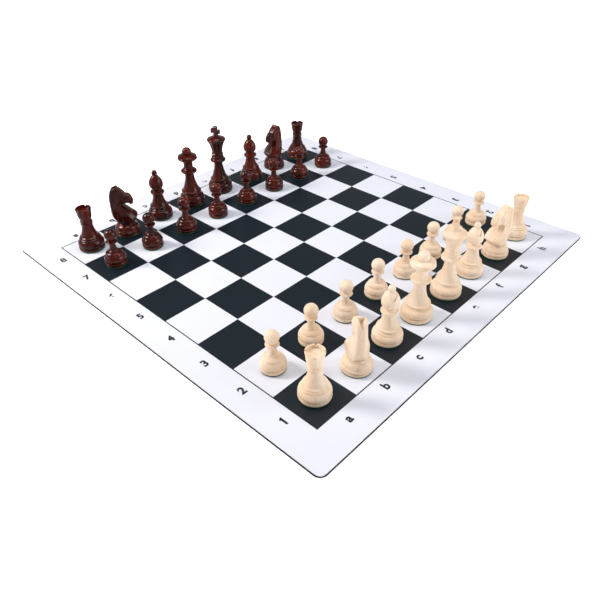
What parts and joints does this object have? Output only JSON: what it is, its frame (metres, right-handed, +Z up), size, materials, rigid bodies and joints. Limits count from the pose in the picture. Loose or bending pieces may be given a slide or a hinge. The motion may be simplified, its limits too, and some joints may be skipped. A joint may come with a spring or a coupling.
{
  "type": "chess set with board",
  "caption": "Staunton-pattern wooden chessmen on felt pads, set up for play on a rolled rubber-backed mat with printed squares and coordinates.",
  "frame": {"origin": "middle of the mat's underside", "axes": "+X from the a file to the h file, +Y from the first rank to the eighth, +Z up out of the board"},
  "size_m": [0.47, 0.47, 0.0902],
  "materials": {
    "light_wood": "pale boxwood or hornbeam under a thin satin lacquer",
    "dark_wood": "red-brown stained wood under gloss lacquer",
    "green_felt": "short green wool felt",
    "white_vinyl": "white printed vinyl, slightly cool, satin",
    "dark_ink": "blue-black ink, satin",
    "black_rubber": "fine-celled black foam rubber"
  },
  "bodies": {
    "mat": {"mat_rubber_base": "black_rubber", "mat_white_vinyl": "white_vinyl", "mat_dark_print": "dark_ink"},
    "light_rook_a1": {"light_rook_a1": "light_wood", "light_rook_a1_felt": "green_felt"},
    "light_pawn_a2": {"light_pawn_a2": "light_wood"},
    "light_knight_b1": {"light_knight_b1_base": "light_wood", "light_knight_b1_horse": "light_wood", "light_knight_b1_felt": "green_felt"},
    "light_pawn_b2": {"light_pawn_b2": "light_wood"},
    "light_bishop_c1": {"light_bishop_c1": "light_wood", "light_bishop_c1_felt": "green_felt"},
    "light_pawn_c2": {"light_pawn_c2": "light_wood"},
    "light_queen_d1": {"light_queen_d1": "light_wood", "light_queen_d1_felt": "green_felt"},
    "light_pawn_d2": {"light_pawn_d2": "light_wood"},
    "light_king_e1": {"light_king_e1": "light_wood", "light_king_e1_cross": "light_wood", "light_king_e1_felt": "green_felt"},
    "light_pawn_e2": {"light_pawn_e2": "light_wood"},
    "light_bishop_f1": {"light_bishop_f1": "light_wood", "light_bishop_f1_felt": "green_felt"},
    "light_pawn_f2": {"light_pawn_f2": "light_wood"},
    "light_knight_g1": {"light_knight_g1_base": "light_wood", "light_knight_g1_horse": "light_wood", "light_knight_g1_felt": "green_felt"},
    "light_pawn_g2": {"light_pawn_g2": "light_wood"},
    "light_rook_h1": {"light_rook_h1": "light_wood", "light_rook_h1_felt": "green_felt"},
    "light_pawn_h2": {"light_pawn_h2": "light_wood"},
    "dark_rook_a8": {"dark_rook_a8": "dark_wood", "dark_rook_a8_felt": "green_felt"},
    "dark_pawn_a7": {"dark_pawn_a7": "dark_wood"},
    "dark_knight_b8": {"dark_knight_b8_base": "dark_wood", "dark_knight_b8_horse": "dark_wood", "dark_knight_b8_felt": "green_felt"},
    "dark_pawn_b7": {"dark_pawn_b7": "dark_wood"},
    "dark_bishop_c8": {"dark_bishop_c8": "dark_wood", "dark_bishop_c8_felt": "green_felt"},
    "dark_pawn_c7": {"dark_pawn_c7": "dark_wood"},
    "dark_queen_d8": {"dark_queen_d8": "dark_wood", "dark_queen_d8_felt": "green_felt"},
    "dark_pawn_d7": {"dark_pawn_d7": "dark_wood"},
    "dark_king_e8": {"dark_king_e8": "dark_wood", "dark_king_e8_cross": "dark_wood", "dark_king_e8_felt": "green_felt"},
    "dark_pawn_e7": {"dark_pawn_e7": "dark_wood"},
    "dark_bishop_f8": {"dark_bishop_f8": "dark_wood", "dark_bishop_f8_felt": "green_felt"},
    "dark_pawn_f7": {"dark_pawn_f7": "dark_wood"},
    "dark_knight_g8": {"dark_knight_g8_base": "dark_wood", "dark_knight_g8_horse": "dark_wood", "dark_knight_g8_felt": "green_felt"},
    "dark_pawn_g7": {"dark_pawn_g7": "dark_wood"},
    "dark_rook_h8": {"dark_rook_h8": "dark_wood", "dark_rook_h8_felt": "green_felt"},
    "dark_pawn_h7": {"dark_pawn_h7": "dark_wood"}
  },
  "joints": [
    {"name": "light_rook_a1_lift", "type": "slide", "parent": "mat", "child": "light_rook_a1", "axis": [0, 0, 1], "range_m": [0, 0.12]},
    {"name": "light_pawn_a2_lift", "type": "slide", "parent": "mat", "child": "light_pawn_a2", "axis": [0, 0, 1], "range_m": [0, 0.12]},
    {"name": "light_knight_b1_lift", "type": "slide", "parent": "mat", "child": "light_knight_b1", "axis": [0, 0, 1], "range_m": [0, 0.12]},
    {"name": "light_pawn_b2_lift", "type": "slide", "parent": "mat", "child": "light_pawn_b2", "axis": [0, 0, 1], "range_m": [0, 0.12]},
    {"name": "light_bishop_c1_lift", "type": "slide", "parent": "mat", "child": "light_bishop_c1", "axis": [0, 0, 1], "range_m": [0, 0.12]},
    {"name": "light_pawn_c2_lift", "type": "slide", "parent": "mat", "child": "light_pawn_c2", "axis": [0, 0, 1], "range_m": [0, 0.12]},
    {"name": "light_queen_d1_lift", "type": "slide", "parent": "mat", "child": "light_queen_d1", "axis": [0, 0, 1], "range_m": [0, 0.12]},
    {"name": "light_pawn_d2_lift", "type": "slide", "parent": "mat", "child": "light_pawn_d2", "axis": [0, 0, 1], "range_m": [0, 0.12]},
    {"name": "light_king_e1_lift", "type": "slide", "parent": "mat", "child": "light_king_e1", "axis": [0, 0, 1], "range_m": [0, 0.12]},
    {"name": "light_pawn_e2_lift", "type": "slide", "parent": "mat", "child": "light_pawn_e2", "axis": [0, 0, 1], "range_m": [0, 0.12]},
    {"name": "light_bishop_f1_lift", "type": "slide", "parent": "mat", "child": "light_bishop_f1", "axis": [0, 0, 1], "range_m": [0, 0.12]},
    {"name": "light_pawn_f2_lift", "type": "slide", "parent": "mat", "child": "light_pawn_f2", "axis": [0, 0, 1], "range_m": [0, 0.12]},
    {"name": "light_knight_g1_lift", "type": "slide", "parent": "mat", "child": "light_knight_g1", "axis": [0, 0, 1], "range_m": [0, 0.12]},
    {"name": "light_pawn_g2_lift", "type": "slide", "parent": "mat", "child": "light_pawn_g2", "axis": [0, 0, 1], "range_m": [0, 0.12]},
    {"name": "light_rook_h1_lift", "type": "slide", "parent": "mat", "child": "light_rook_h1", "axis": [0, 0, 1], "range_m": [0, 0.12]},
    {"name": "light_pawn_h2_lift", "type": "slide", "parent": "mat", "child": "light_pawn_h2", "axis": [0, 0, 1], "range_m": [0, 0.12]},
    {"name": "dark_rook_a8_lift", "type": "slide", "parent": "mat", "child": "dark_rook_a8", "axis": [0, 0, 1], "range_m": [0, 0.12]},
    {"name": "dark_pawn_a7_lift", "type": "slide", "parent": "mat", "child": "dark_pawn_a7", "axis": [0, 0, 1], "range_m": [0, 0.12]},
    {"name": "dark_knight_b8_lift", "type": "slide", "parent": "mat", "child": "dark_knight_b8", "axis": [0, 0, 1], "range_m": [0, 0.12]},
    {"name": "dark_pawn_b7_lift", "type": "slide", "parent": "mat", "child": "dark_pawn_b7", "axis": [0, 0, 1], "range_m": [0, 0.12]},
    {"name": "dark_bishop_c8_lift", "type": "slide", "parent": "mat", "child": "dark_bishop_c8", "axis": [0, 0, 1], "range_m": [0, 0.12]},
    {"name": "dark_pawn_c7_lift", "type": "slide", "parent": "mat", "child": "dark_pawn_c7", "axis": [0, 0, 1], "range_m": [0, 0.12]},
    {"name": "dark_queen_d8_lift", "type": "slide", "parent": "mat", "child": "dark_queen_d8", "axis": [0, 0, 1], "range_m": [0, 0.12]},
    {"name": "dark_pawn_d7_lift", "type": "slide", "parent": "mat", "child": "dark_pawn_d7", "axis": [0, 0, 1], "range_m": [0, 0.12]},
    {"name": "dark_king_e8_lift", "type": "slide", "parent": "mat", "child": "dark_king_e8", "axis": [0, 0, 1], "range_m": [0, 0.12]},
    {"name": "dark_pawn_e7_lift", "type": "slide", "parent": "mat", "child": "dark_pawn_e7", "axis": [0, 0, 1], "range_m": [0, 0.12]},
    {"name": "dark_bishop_f8_lift", "type": "slide", "parent": "mat", "child": "dark_bishop_f8", "axis": [0, 0, 1], "range_m": [0, 0.12]},
    {"name": "dark_pawn_f7_lift", "type": "slide", "parent": "mat", "child": "dark_pawn_f7", "axis": [0, 0, 1], "range_m": [0, 0.12]},
    {"name": "dark_knight_g8_lift", "type": "slide", "parent": "mat", "child": "dark_knight_g8", "axis": [0, 0, 1], "range_m": [0, 0.12]},
    {"name": "dark_pawn_g7_lift", "type": "slide", "parent": "mat", "child": "dark_pawn_g7", "axis": [0, 0, 1], "range_m": [0, 0.12]},
    {"name": "dark_rook_h8_lift", "type": "slide", "parent": "mat", "child": "dark_rook_h8", "axis": [0, 0, 1], "range_m": [0, 0.12]},
    {"name": "dark_pawn_h7_lift", "type": "slide", "parent": "mat", "child": "dark_pawn_h7", "axis": [0, 0, 1], "range_m": [0, 0.12]}
  ]
}
